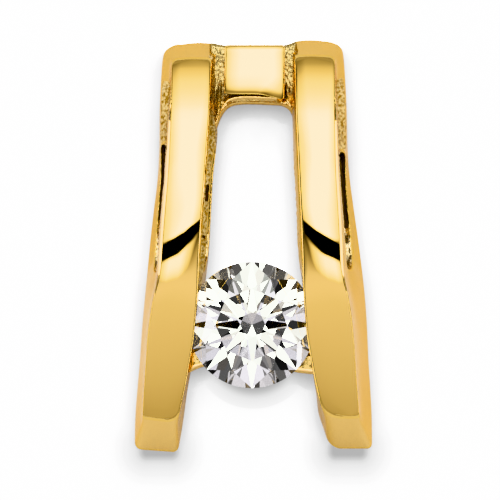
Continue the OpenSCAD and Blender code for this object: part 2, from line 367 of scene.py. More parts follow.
# lengths in mm; places along the bar and across it as shares of the bar's length and the half width
bar = {
    "length": 16.9, "topEnd": 8.52, "halfWidth": 4.91,
    "finishes": ("polished", "tumbled", "cast", "recess", "edge"),
    # the bow, and the way down that its front loses at each end
    "crestHeight": 4.35, "crestDown": 8.0, "bowAbove": 11.3, "bowBelow": 16.5,
    "topLean": 0.71, "bottomLean": 1.4,
    # how far down the crest lies, as a + b u + c u^2 across the face, how that grows further down, how far
    # from the crest it is felt, and the least rise that is made
    "crestLine": (0.05, 0.5, -0.19), "crestSpread": 0.13, "crestReach": 2, "leastRise": 0.002,
    # fall of the face to its inner and outer edge, as depth and power, and its share down the bar
    "innerCrown": (0.0625, 2.3), "outerCrown": (0.0375, 2.8),
    "innerCrownShare": [(0, 0.5), (0.15, 0.6), (0.3, 0.85), (0.4, 1), (1, 1)],
    "outerCrownShare": [(0, 0.6), (0.15, 0.85), (0.3, 0.9), (0.5, 0.9), (0.7, 1), (1, 1)],
    # thickness before and behind the slot, how far down it ends, and the radii of its corners
    "frontLeg": 1.08, "backLeg": 0.8, "slotBottom": 9.5,
    "slotBackRadius": 1.3, "slotFrontRadius": 0.4, "slotTopRadius": 0.5,
    # columns of points down the bar: all, where slot and recess start and end, over how many an end or the
    # slot fades out, and how many at the slot's lower end have no trough
    "columns": 58, "slotFrom": 16, "slotTo": 33, "recessFrom": 7, "fadeColumns": 8, "plainColumns": 4,
    "endPlaces": (0, 0.002, 0.006, 0.012, 0.019, 0.028),
    # where the recess starts, down the bar and above its back, how deep it is, and how wide its rim and the
    # rim round a patch of painted shade are
    "recessTop": 1.7, "recessFloor": 0.3, "recess": 0.02, "recessRim": 0.04, "shadePatchRim": 0.06,
    # heights of the two middle rows: as shares of the wall, beside the recess and below the slot
    "wallRows": (0.34, 0.68), "besideRecess": (0.3, 1.05), "belowSlot": (2.1, 2.8),
    # points across the bar, and how far the slot's floor sinks there
    "slices": (-1, -0.95, -0.82, -0.6, -0.3, 0, 0.3, 0.6, 0.82, 0.95, 1),
    "trough": (0, 0.012, 0.05, 0.15, 0.32, 0.4, 0.435, 0.45, 0.42, 0.12, 0),
    # middle and half width of the top end, and how much of its arch each row of points takes
    "topMiddle": 2.62, "topHalf": 1.02, "archShares": (1, 0.8, 0.4, 0.15, 0.15),
    # how round the edges get, widths of the rims, and how far the face reaches past its outline
    "softest": 0.1, "shoulderEdge": 0.02, "endEdge": 0.02, "backEdge": 0.03, "slotRim": 0.04,
    "faceRim": 0.016, "shoulderRim": 0.02, "edgeReach": 0.01,
    # degrees that the bar leans at its ends, where its inner outline bulges, and the cast skin's lumps as
    # height and size
    "topTwist": -1.1, "lowTwist": 1.1, "bulgePlace": 0.91, "bulgeReach": 0.035,
    "smoothing": 2, "lump": (0.07, 0.16),
    # the bright shoulder along the outer edge of the face: how it falls, from what width it is flat, down to
    # where it is rounded, and its slope and width down the bar
    "wallDrop": 0.12, "wideShoulder": 0.14, "flatShoulder": 0.055, "shoulderTo": 0.8,
    "shoulderSlope": [(0, 1), (0.08, 0.8), (0.14, 0.6), (0.22, 0.88), (0.32, 1.02), (0.5, 1.09),
                      (0.64, 1.03), (1, 1.03)],
    "shoulder": [(0, 0.015), (0.08, 0.025), (0.14, 0.07), (0.22, 0.09), (0.32, 0.1), (0.5, 0.105),
                 (0.56, 0.1), (0.64, 0.06), (0.75, 0.05), (0.85, 0.015), (1, 0.01)],
    # how far out the outer wall has come at the slot's floor and at its roof, down the bar
    "floorRim": [(0, 0.85), (0.22, 0.85), (0.285, 0.76), (0.38, 0.59), (0.5, 0.5), (0.62, 0.52), (1, 0.6)],
    "roofRim": [(0, 0.14), (0.3, 0.2), (0.55, 0.2), (1, 0.14)],
    # the outlines, down the bar
    "backInner": [
        (0, 0.325), (0.05, 0.325), (0.16, 0.325), (0.26, 0.333), (0.33, 0.348), (0.41, 0.363), (0.48, 0.38),
        (0.56, 0.405), (0.63, 0.436), (0.7, 0.466), (0.78, 0.506), (0.85, 0.544), (0.92, 0.584), (1, 0.628)],
    "backOuter": [
        (0, 0.75), (0.05, 0.769), (0.16, 0.788), (0.26, 0.792), (0.33, 0.805), (0.41, 0.839), (0.48, 0.87),
        (0.56, 0.898), (0.63, 0.923), (0.7, 0.945), (0.78, 0.962), (0.85, 0.98), (0.92, 0.995), (1, 1)],
    "faceInner": [
        (0, 0.363), (0.14, 0.374), (0.25, 0.391), (0.33, 0.405), (0.44, 0.426), (0.53, 0.441), (0.59, 0.449),
        (0.63, 0.454), (0.67, 0.46), (0.73, 0.474), (0.78, 0.489), (0.84, 0.52), (0.9, 0.552), (0.95, 0.588),
        (1, 0.625)],
    "faceOuter": [
        (0, 0.68), (0.14, 0.68), (0.25, 0.69), (0.33, 0.7), (0.44, 0.724), (0.53, 0.741), (0.59, 0.753),
        (0.63, 0.778), (0.67, 0.808), (0.73, 0.838), (0.78, 0.856), (0.84, 0.874), (0.9, 0.887),
        (0.95, 0.899), (1, 0.907)],
}

# what the two bars have of their own: corners as radii at the back and on the face, the arch of the top end
# as middle and bend, how far the back's outlines wander, how far in each row of the inner wall is, the
# columns down to which the slot's inside is painted in shade and that wall is rough, and the columns with a
# patch of painted shade in it
rightBarOwn = {
    "side": 1, "lower": 0, "stretch": 1, "crestShift": 0.12,
    "outerTop": (0.5, 0.33), "innerTop": (0.2, 0.18), "outerLow": (0.2, 0.15), "innerLow": (0.5, 0.7),
    "arch": (2.4, 0.07), "bottomSlant": 0, "lowBulge": 0.12,
    "outward": [(0, -0.035), (0.15, -0.02), (0.25, 0), (0.35, 0.015), (0.45, 0.03), (0.6, 0.085),
                (0.75, 0.04), (0.95, 0), (1, 0)],
    "inward": [(0, -0.02), (0.1, 0), (0.2, -0.03), (0.45, -0.02), (0.53, 0.03), (0.7, 0.03), (0.84, 0.045),
               (0.9, 0.06), (0.94, 0.03), (0.97, 0), (1, -0.04)],
    "innerShoulder": 0.105, "innerRims": (1, 1, 0.95, 0),
    "slotTop": 4.65, "slotDark": 27, "roughTo": 7, "innerRecess": False, "shadePatches": ()}
leftBarOwn = {
    "side": -1, "lower": 0.11, "stretch": 1.0018, "crestShift": 0,
    "outerTop": (0.58, 0.34), "innerTop": (0.2, 0.18), "outerLow": (0.35, 0.2), "innerLow": (0.2, 0.42),
    "arch": (2.3, 0.055), "bottomSlant": 0.09, "lowBulge": 0,
    "outward": [(0, 0), (0.4, 0), (0.5, -0.02), (0.62, -0.03), (0.75, -0.03), (0.9, 0), (1, 0)],
    "inward": [(0, 0.04), (0.17, 0.05), (0.21, 0.13), (0.24, 0.125), (0.29, 0.07), (0.34, 0.045),
               (0.43, 0.05), (0.52, 0.075), (0.7, 0.02), (0.83, -0.05), (0.87, -0.045), (0.91, -0.02),
               (0.95, -0.015), (1, -0.03)],
    "innerShoulder": 0.07, "innerRims": (1, 1, 0.92, 0),
    "slotTop": 4.2, "slotDark": 26, "roughTo": 36, "innerRecess": True, "shadePatches": (21, 22, 23, 28)}


# height of the bowed front at a distance below the top end, less an offset square to it
def bowHeight(down, offset=0):
    radius = bar["bowAbove"] if down < bar["crestDown"] else bar["bowBelow"]
    return bar["crestHeight"] - radius + math.sqrt((radius - offset) ** 2 - (down - bar["crestDown"]) ** 2)


# places of the columns, closer together at each end for the round corners
def columnPlace(column):
    near, end = bar["endPlaces"], bar["columns"]
    last = len(near) - 1
    if column < last:
        return near[column]
    if column > end - last:
        return 1 - near[end - column]
    return between(near[last], 1 - near[last], (column - last) / (end - 2 * last))


def frontDown(place):
    return bar["topLean"] + place * (bar["length"] - bar["topLean"] - bar["bottomLean"])


# how far the face lies below the crown's top at u, from -1 at its inner edge to 1 at its outer one
def crownDrop(u, place):
    side = "inner" if u < 0 else "outer"
    depth, power = bar[side + "Crown"]
    return depth * abs(u) ** power * along(bar[side + "CrownShare"], place)


# how far the face stands higher at u, because the crest runs aslant
def crestRise(u, place, own):
    front = frontDown(place) - own["crestShift"]
    below = front - bar["crestDown"]
    level, skew, bend = bar["crestLine"]
    shift = level + skew * u + bend * u * u + bar["crestSpread"] * u * below
    shift *= math.exp(-(below / bar["crestReach"]) ** 2)
    rise = bowHeight(front - shift) - bowHeight(front)
    return rise if abs(rise) > bar["leastRise"] else 0


# (height, distance down) of the slot's floor and roof in one column, or of the recess above it
def slotRows(column, own):
    start, end = bar["slotFrom"], bar["slotTo"]
    if column < start:
        share = (column - bar["recessFrom"]) / (start - bar["recessFrom"])
        down = between(bar["recessTop"], own["slotTop"], share)
        floor = between(bar["recessFloor"], bar["backLeg"], share)
        narrowing = 0
    else:
        down = between(own["slotTop"], bar["slotBottom"], (column - start) / (end - start))
        floor = bar["backLeg"]
        narrowing = cornerInset(abs(down - own["slotTop"]), bar["slotTopRadius"])
    toBottom = bar["slotBottom"] - down
    floor += cornerInset(toBottom, bar["slotBackRadius"]) + narrowing
    roof = bowHeight(down, bar["frontLeg"]) - cornerInset(toBottom, bar["slotFrontRadius"]) - narrowing
    return [(floor, down), (roof, down)]


# where the rows of one column stand, from the back over slot floor, slot roof and shoulder to the face,
# each as (inner x, outer x, distance down, height)
def columnRows(column, own):
    place = columnPlace(column)
    back, front = place * bar["length"], frontDown(place)
    face = bowHeight(front - own["crestShift"])
    half = bar["halfWidth"]

    def corners(side, layer):
        top = cornerInset(back, own[side + "Top"][layer])
        return top + cornerInset(bar["length"] - back, own[side + "Low"][layer])

    bulge = own["lowBulge"] * math.exp(-((place - bar["bulgePlace"]) / bar["bulgeReach"]) ** 2)
    backIn = along(bar["backInner"], place) * half + corners("inner", 0)
    backIn -= along(own["inward"], place) + bulge
    backOut = along(bar["backOuter"], place) * half - corners("outer", 0) + along(own["outward"], place)
    faceIn = along(bar["faceInner"], place) * half - bar["edgeReach"] + corners("inner", 1)
    faceOut = along(bar["faceOuter"], place) * half + bar["edgeReach"] - corners("outer", 1)
    shoulder = along(bar["shoulder"], place)
    under = face - bar["wallDrop"] * (1 - shoulder / bar["wideShoulder"]) ** 2
    under -= along(bar["shoulderSlope"], place) * shoulder

    def downAt(height):
        return between(back, front, height / face)

    if bar["recessFrom"] <= column <= bar["slotTo"]:
        middle = slotRows(column, own)
    else:
        if column < bar["recessFrom"]:
            beside, share = bar["besideRecess"], column / bar["recessFrom"]
        else:
            beside, share = bar["belowSlot"], 1 - min(1, (column - bar["slotTo"]) / bar["fadeColumns"])
        heights = [between(under * plain, near, share) for plain, near in zip(bar["wallRows"], beside)]
        middle = [(z, downAt(z)) for z in heights]

    outerRims = (1, along(bar["floorRim"], place), along(bar["roofRim"], place), 0)
    rows = [(0, back)] + middle + [(under, downAt(under))]
    placed = []
    for (z, down), innerRim, outerRim in zip(rows, own["innerRims"], outerRims):
        inner = between(faceIn - own["innerShoulder"], backIn, innerRim)
        placed.append((inner, between(faceOut + shoulder, backOut, outerRim), down, z))
    placed.append((faceIn, faceOut, front, face))
    lean = own["side"] * math.tan(math.radians(between(bar["topTwist"], bar["lowTwist"], place)))
    return [(inner - z * lean, outer - z * lean, down, z) for inner, outer, down, z in placed]


# a plain box of the bar's points with a gap for the slot, and the slice, column and row of each point
def makePlainBar(name):
    columns, slices = bar["columns"], bar["slices"]
    # side view of the bar as a sheet, standing on its back
    middle = (slices[0], -columns / 2, faceRow / 2)
    upright = (math.pi / 2, 0, -math.pi / 2)
    piece = addGrid(name, columns, faceRow, (columns, faceRow), middle, upright)

    def inGap(face):
        middle = face.calc_center_median() / mm
        return floorRow < middle.z < roofRow and bar["slotFrom"] < -middle.y < bar["slotTo"]

    bpy.ops.mesh.select_mode(type="FACE")
    selectWhere(piece, "faces", inGap)
    bpy.ops.mesh.delete(type="FACE")
    bpy.ops.mesh.select_mode(type="VERT")
    bpy.ops.mesh.select_all(action="SELECT")
    for a, b in zip(slices, slices[1:]):
        bpy.ops.mesh.extrude_region_move(TRANSFORM_OT_translate={"value": ((b - a) * mm, 0, 0)})
    spot = {}
    for v in bmesh.from_edit_mesh(piece.data).verts:
        x, y, z = v.co / mm
        nearest = min(range(len(slices)), key=lambda k: abs(slices[k] - x))
        spot[v.index] = (nearest, round(-y), round(z))
    return piece, spot


def shapeBar(piece, spot, own):
    columns, slices = bar["columns"], bar["slices"]
    index = {s: i for i, s in spot.items()}
    archMiddle, archBend = own["arch"]

    # the points of one row and column on these slices, where the skin has them
    def points(sides, column, row):
        return [index[(k, column, row)] for k in sides if (k, column, row) in index]

    for k, u in enumerate(slices):
        # the face is crowned from side to side, and its crest runs aslant
        for column in range(columns + 1):
            place = columnPlace(column)
            rise = crestRise(u, place, own)
            moveVerts(piece, points([k], column, shoulderRow), (0, 0, rise))
            moveVerts(piece, points([k], column, faceRow), (0, 0, rise - crownDrop(u, place)))
        # the slot's floor sinks to a trough
        for column in range(bar["slotFrom"], bar["slotTo"] - bar["plainColumns"]):
            moveVerts(piece, points([k], column, floorRow), (0, 0, -bar["trough"][k]))
        # the top end is arched at the back and the bottom end may slant
        for column in range(bar["fadeColumns"]):
            fade = 1 - column / bar["fadeColumns"]
            drop = archBend * (bar["topMiddle"] + bar["topHalf"] * u - archMiddle) ** 2 * fade
            rise = own["bottomSlant"] * (u + 1) / 2 * fade
            for row, share in enumerate(bar["archShares"]):
                moveVerts(piece, points([k], column, row), (0, -drop * share, 0))
                moveVerts(piece, points([k], columns - column, row), (0, rise, 0))

    # then each row of each column gets its width and place, and a side of -1 mirrors it
    for column in range(columns + 1):
        for row, (inner, outer, down, z) in enumerate(columnRows(column, own)):
            here = Vector((0, -column, row))
            y = bar["topEnd"] - own["lower"] - down * own["stretch"]
            target = Vector((own["side"] * (inner + outer) / 2, y, z))
            half = own["side"] * (outer - inner) / 2
            selectThese(piece, "verts", points(range(len(slices)), column, row))
            bpy.ops.transform.resize(value=(half, 1, 1), center_override=here * mm)
            bpy.ops.transform.translate(value=(target - here) * mm)
    bpy.ops.mesh.select_all(action="SELECT")
    bpy.ops.mesh.normals_make_consistent(inside=False)


# the slices, columns and rows that these points have
def reach(spot, corners):
    return [{spot[i][n] for i in corners} for n in range(3)]


def bySlot(down):
    return bar["slotFrom"] <= min(down) and max(down) <= bar["slotTo"]


def markEdges(piece, spot):
    inner, outer = {0}, {len(bar["slices"]) - 1}
    top, bottom = {0}, {bar["columns"]}

    # how round an edge gets
    def edgeRound(edge):
        sides, down, rows = reach(spot, [v.index for v in edge.verts])
        onSide = sides in (inner, outer)
        onRim = rows in ({floorRow}, {roofRow})
        atSlotEnd = rows == {floorRow, roofRow} and down in ({bar["slotFrom"]}, {bar["slotTo"]})
        if sides == outer and rows == {shoulderRow} and columnPlace(max(down)) < bar["shoulderTo"]:
            return bar["shoulderEdge"]
        if rows == {faceRow} and down == top:
            return bar["endEdge"]
        if rows == {backRow} and (onSide or down in (top, bottom)):
            return bar["backEdge"]
        if onSide and (onRim or atSlotEnd) and bySlot(down):
            return bar["slotRim"]
        return 0

    # the face's own edge is marked for a fine darker rim of painted shade, all round but for the top end
    def aroundFace(edge):
        sides, down, rows = reach(spot, [v.index for v in edge.verts])
        return rows == {faceRow} and (sides in (inner, outer) or down == bottom)

    bpy.ops.mesh.select_mode(type="EDGE")
    rounds = {edge.index: edgeRound(edge) for edge in bmesh.from_edit_mesh(piece.data).edges}
    for size in sorted(set(rounds.values()) - {0}):
        selectThese(piece, "edges", [i for i, value in rounds.items() if value == size])
        bpy.ops.transform.edge_bevelweight(value=size / bar["softest"])
    selectWhere(piece, "edges", aroundFace)
    bpy.ops.mesh.mark_seam()


# face, walls and the slot's inside take their own finish, the slot's upper inside a dark gold of painted
# shade, and the walls get their recesses and patches of painted shade
def finishBar(piece, spot, own):
    finishes = bar["finishes"]
    inner, outer = {0}, {len(bar["slices"]) - 1}

    def inRecess(face):
        sides, down, rows = reach(spot, face.vertices)
        onWall = sides == outer or sides == inner and own["innerRecess"]
        besideSlot = bar["recessFrom"] <= min(down) and max(down) <= bar["slotFrom"]
        return onWall and rows == {floorRow, roofRow} and besideSlot

    def onRoughWall(face):
        sides, down, rows = reach(spot, face.vertices)
        return sides == inner and rows == {roofRow, shoulderRow} and max(down) <= own["roughTo"]

    # faces of the rough inner wall that get a flat dark patch of painted shade
    def hasShadePatch(face):
        return onRoughWall(face) and min(spot[i][1] for i in face.vertices) in own["shadePatches"]

    def onShoulder(face):
        sides, down, rows = reach(spot, face.vertices)
        width = min(along(bar["shoulder"], columnPlace(column)) for column in down)
        return sides == outer and rows == {shoulderRow, faceRow} and width > bar["flatShoulder"]

    def finishOf(face):
        sides, down, rows = reach(spot, face.vertices)
        if rows <= {shoulderRow, faceRow}:
            return "polished"
        if onRoughWall(face) or inRecess(face):
            return "cast"
        # the slot's inside down to slotDark takes the dark recess gold as painted shade, and the cast gold
        # below it
        if rows <= {floorRow, roofRow} and len(sides) > 1 and bySlot(down):
            return "recess" if max(down) <= own["slotDark"] else "cast"
        return "tumbled"

    dress(piece, finishes, finishOf)
    recessed, shoulders, shadePatches = (
        [face.index for face in piece.data.polygons if test(face)]
        for test in (inRecess, onShoulder, hasShadePatch))
    edit(piece)
    bpy.ops.mesh.select_mode(type="FACE")
    selectThese(piece, "faces", recessed)
    bpy.ops.mesh.inset(thickness=bar["recessRim"] * mm, depth=-bar["recess"] * mm)
    # a loop close to each edge of the shoulder keeps it flat, and so its bright line even
    selectThese(piece, "faces", shoulders)
    bpy.ops.mesh.inset(thickness=bar["shoulderRim"] * mm)
    # patches of painted shade: faces inset with no depth and given the dark recess gold
    if shadePatches:
        selectThese(piece, "faces", shadePatches)
        bpy.ops.mesh.inset(thickness=bar["shadePatchRim"] * mm)
        piece.active_material_index = finishes.index("recess")
        bpy.ops.object.material_slot_assign()
    bpy.ops.mesh.select_mode(type="EDGE")
    # the marked edges get a narrow bevel in the darker edge gold: painted shade along the face's rim
    selectWhere(piece, "edges", lambda edge: edge.seam)
    bpy.ops.mesh.bevel(offset=bar["faceRim"] * mm, segments=2, material=finishes.index("edge"))
    leaveEdit()
    roughFinishes = (finishes.index("cast"), finishes.index("recess"))
    rough = [face for face in piece.data.polygons if face.material_index in roughFinishes]
    groupCast(piece, {i: 1 for face in rough for i in face.vertices})


def makeBar(name, own):
    piece, spot = makePlainBar(name)
    shapeBar(piece, spot, own)
    markEdges(piece, spot)
    leaveEdit()
    finishBar(piece, spot, own)
    soften(piece, bar["softest"], bar["smoothing"], bar["lump"])
    return piece


# the bridge at the top: a smooth pad on a rough web

pad = {
    "left": -1.16, "right": 1.32, "columns": 8, "foot": 0.85,
    "softest": 0.1, "sideEdge": 0.07, "lowEdge": 0.012, "smoothing": 2,
    # how far the front falls to both sides, and the lower edge droops to the right from a column and row on
    "fall": 0.05, "fallPower": 3, "droop": 0.25, "droopColumn": 4.8, "droopRow": 6,
    # height above which edges are rounded
    "roundAbove": 1.2,
    # distance up the pendant and height, down the pad's front
    "front": [(8.3, 1.18), (8.16, 1.27), (8.03, 1.34), (7.78, 1.41), (7.54, 1.5), (7.2, 1.64), (6.96, 1.75),
              (6.71, 1.88), (6.5, 1.99), (6.36, 2.09), (6.255, 2.19)],
}


def makePad():
    columns, rows = pad["columns"], len(pad["front"]) - 1
    left, right = pad["left"], pad["right"]
    piece = addGrid("pad", columns, rows, (right - left, rows), ((left + right) / 2, -rows / 2, 0))
    spot = {}
    for v in bmesh.from_edit_mesh(piece.data).verts:
        spot[v.index] = (round((v.co.x / mm - left) / (right - left) * columns), round(-v.co.y / mm))
    for i, (column, row) in spot.items():
        y, z = pad["front"][row]
        toRight = max(0, (column - pad["droopColumn"]) / (columns - pad["droopColumn"]))
        droop = pad["droop"] * toRight * max(0, (row - pad["droopRow"]) / (rows - pad["droopRow"]))
        fall = pad["fall"] * abs(2 * column / columns - 1) ** pad["fallPower"]
        moveVerts(piece, [i], (0, y + row - droop, z - fall))
    closeDown(pad["foot"])

    def isHigh(edge):
        return all(v.co.z > pad["roundAbove"] * mm for v in edge.verts)

    def onLowEdge(edge):
        ways = [face.normal for face in edge.link_faces]
        return isHigh(edge) and any(way.y < -facing for way in ways) and any(way.z > facing for way in ways)

    def onSideEdge(edge):
        across = [v.co.x / mm for v in edge.verts]
        return isHigh(edge) and (min(across) > right - close or max(across) < left + close)

    bpy.ops.mesh.select_mode(type="EDGE")
    for size, test in ((pad["lowEdge"], onLowEdge), (pad["sideEdge"], onSideEdge)):
        selectWhere(piece, "edges", test)
        bpy.ops.transform.edge_bevelweight(value=size / pad["softest"])
    leaveEdit()
    # its lower side, facing the window, takes the dark recess gold: painted shade under the pad
    dress(piece, ("polished", "recess"), lambda face: "recess" if face.normal.y < -facing else "polished")
    soften(piece, pad["softest"], pad["smoothing"])
    return piece


web = {
    "across": (-1.8, -1.62, -1.52, -1.44, -1.37, -1.3, -1.2, -1.08, -0.95, -0.7, -0.35, 0, 0.35, 0.7,
               0.95, 1.08, 1.2, 1.32, 1.44, 1.55, 1.65, 1.8),
    "topLine": [(-1.8, 8.42), (-1.16, 8.28), (0, 8.18), (1.2, 8.27), (1.8, 8.45)],
    "window": [(-1.8, 4.6), (-1.53, 4.75), (-1.45, 4.95), (-1.37, 5.16), (-1.28, 5.36), (-1.15, 5.55),
               (-1.0, 5.7), (-0.8, 5.79), (-0.4, 5.83), (0, 5.83), (0.5, 5.81), (0.92, 5.79),
               (1.12, 5.78), (1.28, 5.73), (1.45, 5.63), (1.57, 5.48), (1.65, 5.25), (1.8, 4.9)],
    # rows from the top: share of the way to the lip or distance above the window, then height
    "valley": [(0, 0.9), (0.06, 1.0), (0.2, 1.0), (0.4, 0.96), (0.6, 0.95), (0.8, 0.93), (1, 0.78)],
    "lip": [(0.41, 0.8), (0.395, 1.12), (0.37, 1.185), (0.31, 1.2), (0.22, 1.16), (0.11, 1.06), (0, 0.9)],
    # a pit on each side of the pad, as x, y and depth, how far it reaches and how long it is drawn
    "pits": [(-1.37, 6.03, 0.45), (1.2, 6.12, 0.45)], "pitReach": 0.006, "pitStretch": 3,
    # where the lip starts above the window, its share of the lumps, and how far out the painted shade behind
    # it reaches
    "lipStart": 0.43, "lipLump": 0.25, "darkHalf": 1.2, "smoothing": 3, "lump": (0.07, 0.09),
}


def makeWeb():
    columns = len(web["across"]) - 1
    rows = len(web["valley"]) + len(web["lip"]) - 1
    behind = len(web["valley"]) - 1
    piece = addGrid("web", columns, rows, (columns, rows), (columns / 2, -rows / 2, 0))
    spot = {}
    for v in bmesh.from_edit_mesh(piece.data).verts:
        spot[v.index] = (round(v.co.x / mm), round(-v.co.y / mm))
    for i, (column, row) in spot.items():
        x = web["across"][column]
        low = along(web["window"], x)
        share, z = (web["valley"] + web["lip"])[row]
        y = low + share
        if row <= behind:
            y = between(along(web["topLine"], x), low + web["lipStart"], share)
        for pitX, pitY, depth in web["pits"]:
            away = (x - pitX) ** 2 + (y - pitY) ** 2 / web["pitStretch"]
            z -= depth * math.exp(-away / web["pitReach"])
        moveVerts(piece, [i], (x - column, y + row, z))
    closeDown(0)
    leaveEdit()

    # the grooves beside the pad are rougher than the lip and darker, in part painted shade, and dark behind
    # it
    def finishOf(face):
        rows = {spot[i][1] for i in face.vertices if i in spot}
        # faces just behind the lip, under the pad, take the dark recess gold: painted shade
        if rows and rows <= {behind, behind + 1} and abs(face.center.x) < web["darkHalf"] * mm:
            return "recess"
        return "tumbled" if rows and min(rows) > behind else "groove"

    dress(piece, ("groove", "recess", "tumbled"), finishOf)
    groupCast(piece, {i: 1 if 0 < row <= behind else web["lipLump"] for i, (column, row) in spot.items()})
    soften(piece, 0, web["smoothing"], web["lump"])
    return piece


# the rail under the stone

rail = {
    "half": 2.7, "columns": 18, "height": 1.15, "width": 0.9, "rows": 3, "softest": 0.14,
    "lowLine": [(-2.7, -5.3), (-2.36, -5.08), (-2.1, -5.0), (-1.4, -4.86), (0, -4.79), (1.0, -4.95),
                (1.62, -5.19), (2.4, -5.29), (2.7, -5.33)],
    # left of one place and above one height it is left as it was cast
    "castTo": -0.5, "castAbove": 0.5, "smoothing": 3, "lump": (0.01, 0.22),
}


def makeRail():
    columns, half, width, height = rail["columns"], rail["half"], rail["width"], rail["height"]
    piece = addGrid("rail", columns, rail["rows"], (2 * half, width), (0, width / 2, height))
    found = [(v.index, v.co.x / mm) for v in bmesh.from_edit_mesh(piece.data).verts]
    for column in range(columns + 1):
        place = between(-half, half, column / columns)
        line = [i for i, x in found if abs(x - place) < close]
        moveVerts(piece, line, (0, along(rail["lowLine"], place), 0))
    closeDown(0)

    # both long top edges are rounded
    def onTopEdge(edge):
        high = all(v.co.z > height / 2 * mm for v in edge.verts)
        return high and any(abs(face.normal.y) > facing for face in edge.link_faces)

    bpy.ops.mesh.select_mode(type="EDGE")
    selectWhere(piece, "edges", onTopEdge)
    bpy.ops.transform.edge_bevelweight(value=1)
    leaveEdit()
    dress(piece, ("tumbled",), lambda face: "tumbled")
    castTo, castAbove = rail["castTo"] * mm, rail["castAbove"] * mm
    groupCast(piece, {v.index: 1 for v in piece.data.vertices if v.co.x < castTo and v.co.z > castAbove})
    soften(piece, rail["softest"], rail["smoothing"], rail["lump"])
    return piece


# the seat that the stone lies in

seat = {"middle": (0, -3.24), "stoneRadius": 2.6, "gap": 0.03, "girdle": (3.1, 3.23), "sides": 96,
        # slope and end radius of the cone below the stone and of the one over it
        "underSlope": 0.9, "underRadius": 0.05, "overSlope": 0.74, "overRadius": 1.482}


def cutSeat(piece):
    low, high = seat["girdle"]
    radius = seat["stoneRadius"] + seat["gap"]
    middle = Vector(seat["middle"] + ((low + high) / 2,)) * mm
    deselectAll()
    bpy.ops.mesh.primitive_cylinder_add(
        vertices=seat["sides"], radius=radius * mm, depth=(high - low) * mm, location=middle)
    cutter = bpy.context.object
    applyPlace(cutter)
    edit(cutter)
    bpy.ops.mesh.select_mode(type="FACE")
    for side, name in ((1, "over"), (-1, "under")):
        end = seat[name + "Radius"]
        rise = side * (radius - end) * seat[name + "Slope"]
        selectWhere(cutter, "faces", lambda face: face.normal.z * side > facing)
        bpy.ops.mesh.extrude_region_move(TRANSFORM_OT_translate={"value": (0, 0, rise * mm)})
        bpy.ops.transform.resize(value=(end / radius, end / radius, 1), center_override=middle)
    leaveEdit()
    cut = piece.modifiers.new("seat", "BOOLEAN")
    cut.operation = "DIFFERENCE"
    cut.solver = "EXACT"
    cut.object = cutter
    applyModifiers(piece)
    bpy.data.objects.remove(cutter)


# the stone

stoneLook = {"clear": (1, 0.99, 0.985, 1), "faint": (0.97, 0.962, 0.957, 1), "ior": 2.42, "patch": 900}


def makeStoneMaterial():
    material, tree, shader = newMaterial("clear brilliant")
    patch = tree.nodes.new("ShaderNodeTexNoise")
    patch.inputs["Scale"].default_value = stoneLook["patch"]
    place = tree.nodes.new("ShaderNodeTexCoord")
    tree.links.new(place.outputs["Object"], patch.inputs["Vector"])
    tint = mixNode(tree, patch.outputs["Fac"], stoneLook["clear"], stoneLook["faint"])
    tree.links.new(tint, shader.inputs["Base Color"])
    shader.inputs["Roughness"].default_value = 0
    shader.inputs["IOR"].default_value = stoneLook["ior"]
    shader.inputs["Transmission Weight"].default_value = 1
    return material


# the pieces

rightBar = makeBar("rightBar", rightBarOwn)
leftBar = makeBar("leftBar", leftBarOwn)
for piece in (rightBar, leftBar):
    cutSeat(piece)
print("bars made")
padPiece, webPiece, railPiece = makePad(), makeWeb(), makeRail()
print("bridges made")

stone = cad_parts["stone"]
stone.data.materials.clear()
stone.data.materials.append(makeStoneMaterial())

for piece in (rightBar, leftBar, padPiece, webPiece, railPiece):
    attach(piece, "root")
    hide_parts("slide_mount")


# floor, light and camera

